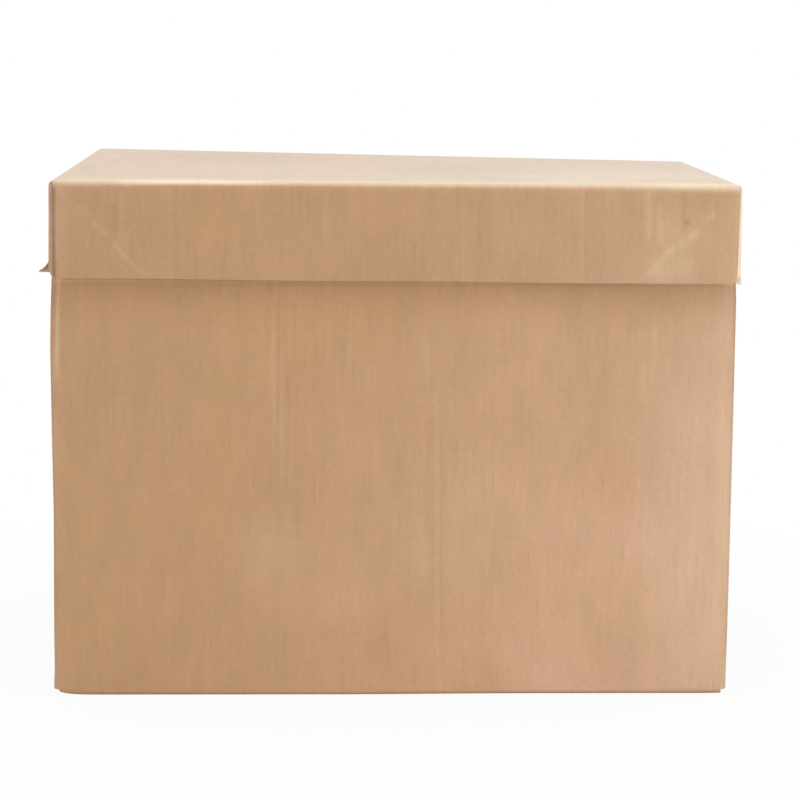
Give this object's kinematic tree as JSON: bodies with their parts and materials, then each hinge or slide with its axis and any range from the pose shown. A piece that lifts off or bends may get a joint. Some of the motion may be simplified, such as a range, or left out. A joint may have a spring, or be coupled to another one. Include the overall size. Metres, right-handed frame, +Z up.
{
  "type": "closed cardboard box",
  "caption": "Deep corrugated cardboard box with a cap lid whose skirt slides down over the base; folded corners, glued bottom flaps, the lid lifts off.",
  "frame": {"origin": "on the ground under the middle of the base", "axes": "+X to the right along the long side, +Y to the back, +Z up; the front faces -Y"},
  "size_m": [0.5946, 0.3984, 0.442],
  "materials": {
    "base_board": "matt unprinted kraft liner",
    "lid_board": "matt unprinted kraft liner, lightly scuffed at the folds"
  },
  "bodies": {
    "base": {"base": "base_board"},
    "lid": {"lid": "lid_board"}
  },
  "joints": [
    {"name": "lid_lift", "type": "slide", "parent": "base", "child": "lid", "axis": [0, 0, 1], "range_m": [0, 0.12]}
  ]
}
